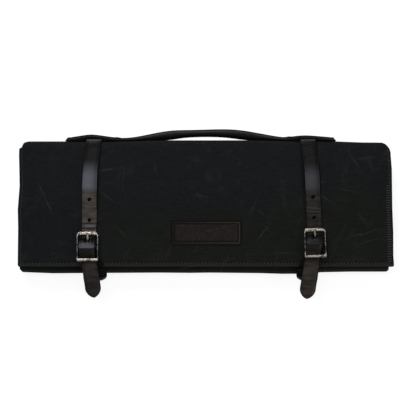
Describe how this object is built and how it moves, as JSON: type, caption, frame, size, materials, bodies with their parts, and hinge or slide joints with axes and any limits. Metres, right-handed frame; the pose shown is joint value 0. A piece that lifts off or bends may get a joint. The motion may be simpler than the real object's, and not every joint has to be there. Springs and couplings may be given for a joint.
{
  "type": "carving tool roll",
  "caption": "Black waxed-canvas carving tool roll: pocketed back, hinged front flap, buckled leather belts, rolled leather carry handle and a bare leather patch.",
  "frame": {"origin": "centre of the back panel's outer face", "axes": "+X along the roll's length, +Y from the bottom fold to the handle edge, +Z out of the back through the front flap"},
  "size_m": [0.4764, 0.2137, 0.0439],
  "materials": {
    "waxed_canvas": "black waxed cotton canvas, matte with faint wax scuffs",
    "cotton_lining": "plain woven cotton lining, charcoal",
    "binding_tape": "black cotton twill tape",
    "belt_leather": "black bridle leather, satin, slightly creased",
    "handle_leather": "black bridle leather, satin",
    "patch_leather": "dark brown leather, bare, with an embossed border",
    "handle_cord": "natural cotton cord",
    "nickel": "nickel-plated, softly polished",
    "dark_rivet": "black-nickel rivet"
  },
  "bodies": {
    "roll_body": {"back_panel": "waxed_canvas", "back_lining": "cotton_lining", "bottom_fold": "waxed_canvas", "spine_panel": "waxed_canvas", "pocket_panel": "waxed_canvas", "pocket_mouth_binding": "binding_tape", "pocket_seams": "waxed_canvas", "strap_left_top": "belt_leather", "strap_right_top": "belt_leather", "chape_left_base": "belt_leather", "chape_right_base": "belt_leather", "handle_anchor_left": "handle_leather", "handle_anchor_right": "handle_leather", "handle_rivets": "dark_rivet"},
    "flap": {"front_flap": "waxed_canvas", "flap_lining": "cotton_lining", "flap_lower_edge": "waxed_canvas", "name_patch": "patch_leather"},
    "belt_left": {"strap_left": "belt_leather", "strap_left_end": "belt_leather"},
    "belt_right": {"strap_right": "belt_leather", "strap_right_end": "belt_leather"},
    "lower_strap_left": {"chape_left": "belt_leather"},
    "lower_strap_right": {"chape_right": "belt_leather"},
    "buckle_left": {"buckle_frame_left": "nickel"},
    "buckle_right": {"buckle_frame_right": "nickel"},
    "prong_left": {"prong_left": "nickel"},
    "prong_right": {"prong_right": "nickel"},
    "handle": {"handle_grip": "handle_leather", "handle_core": "handle_cord", "handle_arm_left": "handle_leather", "handle_arm_right": "handle_leather"}
  },
  "joints": [
    {"name": "flap_open", "type": "hinge", "parent": "roll_body", "child": "flap", "pos_m": [0, 0.084, 0.031], "axis": [-1, 0, 0], "range_deg": [0, 178], "deforming": ["flap_lower_edge"]},
    {"name": "strap_left_lift", "type": "hinge", "parent": "flap", "child": "belt_left", "pos_m": [-0.1413, 0.084, 0.031], "axis": [1, 0, 0], "range_deg": [-100, 0], "deforming": ["strap_left_end"]},
    {"name": "strap_right_lift", "type": "hinge", "parent": "flap", "child": "belt_right", "pos_m": [0.131, 0.084, 0.031], "axis": [1, 0, 0], "range_deg": [-100, 0], "deforming": ["strap_right_end"]},
    {"name": "handle_swing", "type": "hinge", "parent": "roll_body", "child": "handle", "pos_m": [-0.003, 0.0865, 0.014], "axis": [1, 0, 0], "range_deg": [-60, 60], "deforming": ["handle_arm_left", "handle_arm_right"]},
    {"name": "chape_left_fold", "type": "hinge", "parent": "roll_body", "child": "lower_strap_left", "pos_m": [-0.138, -0.08, 0.0313], "axis": [1, 0, 0], "range_deg": [0, 160]},
    {"name": "buckle_left_tilt", "type": "hinge", "parent": "lower_strap_left", "child": "buckle_left", "pos_m": [-0.1494, -0.0505, 0.03445], "axis": [1, 0, 0], "range_deg": [0, 8]},
    {"name": "prong_left_lift", "type": "hinge", "parent": "buckle_left", "child": "prong_left", "pos_m": [-0.1494, -0.0505, 0.03445], "axis": [1, 0, 0], "range_deg": [0, 130]},
    {"name": "chape_right_fold", "type": "hinge", "parent": "roll_body", "child": "lower_strap_right", "pos_m": [0.129, -0.08, 0.0313], "axis": [1, 0, 0], "range_deg": [0, 160]},
    {"name": "buckle_right_tilt", "type": "hinge", "parent": "lower_strap_right", "child": "buckle_right", "pos_m": [0.1397, -0.0459, 0.03445], "axis": [0.9976, 0.0698, 0], "range_deg": [0, 8]},
    {"name": "prong_right_lift", "type": "hinge", "parent": "buckle_right", "child": "prong_right", "pos_m": [0.1397, -0.0459, 0.03445], "axis": [0.9976, 0.0698, 0], "range_deg": [0, 130]}
  ]
}
